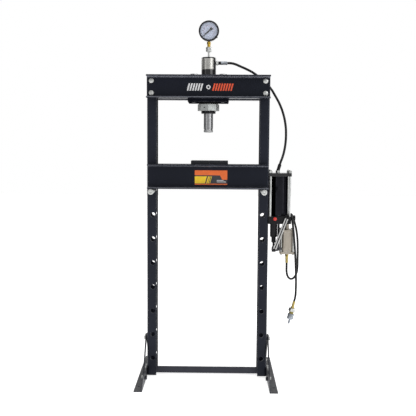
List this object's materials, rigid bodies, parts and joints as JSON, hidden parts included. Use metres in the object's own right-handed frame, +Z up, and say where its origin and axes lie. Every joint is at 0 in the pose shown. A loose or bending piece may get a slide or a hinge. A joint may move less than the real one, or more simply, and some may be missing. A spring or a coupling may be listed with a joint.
{
  "type": "hydraulic shop press",
  "caption": "Free-standing H-frame shop press: hydraulic ram with pressure gauge, pinned adjustable bed with arbor plates, side pump with air motor, hand lever and hoses.",
  "frame": {"origin": "middle of the bottom of the machine's own box, on the floor plane; the ram's centre line is 49.35 mm to the -X side of it", "axes": "+X to the pump's side, +Y away from the operator, +Z up"},
  "size_m": [0.806, 0.572, 1.7643],
  "materials": {
    "frame_paint": "satin dark charcoal powder coat",
    "black_paint": "semi-gloss black",
    "zinc_plate": "bright zinc plate",
    "bright_steel": "ground steel",
    "brass": "machined brass",
    "cast_alloy": "cast and machined, satin",
    "hose_rubber": "satin black",
    "red_plastic": "gloss red",
    "dial_card": "matt pale blue-white",
    "clear_glass": "clear",
    "needle_black": "satin black"
  },
  "bodies": {
    "frame": {"left_upright": "frame_paint", "right_upright": "frame_paint", "top_beam_front": "frame_paint", "top_beam_rear": "frame_paint", "left_foot": "frame_paint", "right_foot": "frame_paint", "brace_front_left": "frame_paint", "brace_front_right": "frame_paint", "brace_rear_left": "frame_paint", "brace_rear_right": "frame_paint", "lower_crossbar": "frame_paint", "ram_plate": "frame_paint", "ram_hanger_left": "frame_paint", "ram_hanger_right": "frame_paint", "cylinder_barrel": "black_paint", "cylinder_gland": "black_paint", "gauge_case": "black_paint", "pump_top_plate": "black_paint", "oil_reservoir": "black_paint", "pump_base_block": "black_paint", "pump_barrel": "black_paint", "lever_fulcrum": "black_paint", "top_bolts_front_left": "zinc_plate", "top_bolts_front_right": "zinc_plate", "top_bolts_rear_left": "zinc_plate", "top_bolts_rear_right": "zinc_plate", "cylinder_lock_nut": "zinc_plate", "pump_tie_rod_front_left": "zinc_plate", "pump_tie_rod_front_right": "zinc_plate", "pump_tie_rod_rear_left": "zinc_plate", "pump_tie_rod_rear_right": "zinc_plate", "pump_mount_bolts": "zinc_plate", "hose_end_cylinder": "zinc_plate", "hose_end_pump": "zinc_plate", "air_coupler": "zinc_plate", "return_spring": "bright_steel", "gauge_coupling": "bright_steel", "gauge_stem": "brass", "air_inlet_fitting": "brass", "air_hose_ferrule": "brass", "air_motor_head": "cast_alloy", "air_motor_body": "cast_alloy", "air_motor_base": "cast_alloy", "hydraulic_hose": "hose_rubber", "air_hose": "hose_rubber", "gauge_dial": "dial_card", "gauge_lens": "clear_glass"},
    "ram": {"ram": "bright_steel", "ram_saddle": "bright_steel"},
    "bed": {"bed_beam_front": "frame_paint", "bed_beam_rear": "frame_paint"},
    "left_pin": {"left_bed_pin": "zinc_plate"},
    "right_pin": {"right_bed_pin": "zinc_plate"},
    "left_arbor": {"arbor_plate_left": "frame_paint"},
    "right_arbor": {"arbor_plate_right": "frame_paint"},
    "needle": {"gauge_pointer": "needle_black"},
    "release_valve": {"release_valve_knob": "red_plastic"},
    "lever": {"pump_lever": "bright_steel", "lever_end_boss": "black_paint"},
    "plunger": {"pump_plunger": "black_paint"}
  },
  "joints": [
    {"name": "ram_slide", "type": "slide", "parent": "frame", "child": "ram", "axis": [0, 0, -1], "range_m": [0, 0.135], "deforming": ["return_spring"]},
    {"name": "bed_height", "type": "slide", "parent": "frame", "child": "bed", "axis": [0, 0, 1], "range_m": [-0.72, 0]},
    {"name": "left_pin_slide", "type": "slide", "parent": "bed", "child": "left_pin", "axis": [0, -1, 0], "range_m": [0, 0.28]},
    {"name": "right_pin_slide", "type": "slide", "parent": "bed", "child": "right_pin", "axis": [0, -1, 0], "range_m": [0, 0.28]},
    {"name": "left_arbor_slide", "type": "slide", "parent": "bed", "child": "left_arbor", "axis": [1, 0, 0], "range_m": [-0.16, 0]},
    {"name": "right_arbor_slide", "type": "slide", "parent": "bed", "child": "right_arbor", "axis": [1, 0, 0], "range_m": [0, 0.15]},
    {"name": "gauge_needle", "type": "hinge", "parent": "frame", "child": "needle", "pos_m": [-0.04935, -0.014, 1.7128], "axis": [0, 1, 0], "range_deg": [0, 270], "stiffness_Nm_per_rad": 0.004},
    {"name": "release_valve_turn", "type": "hinge", "parent": "frame", "child": "release_valve", "pos_m": [0.28165, -0.062, 0.8], "axis": [0, -1, 0], "range_deg": [0, 180]},
    {"name": "pump_lever_swing", "type": "hinge", "parent": "frame", "child": "lever", "pos_m": [0.3018, -0.034, 0.65], "axis": [0, 1, 0], "range_deg": [0, 35]},
    {"name": "plunger_slide", "type": "slide", "parent": "frame", "child": "plunger", "axis": [0, 0, 1], "range_m": [0, 0.0152]}
  ],
  "couplings": [
    {"joint": "plunger_slide", "follows": "pump_lever_swing", "m_per_rad": 0.02459}
  ]
}
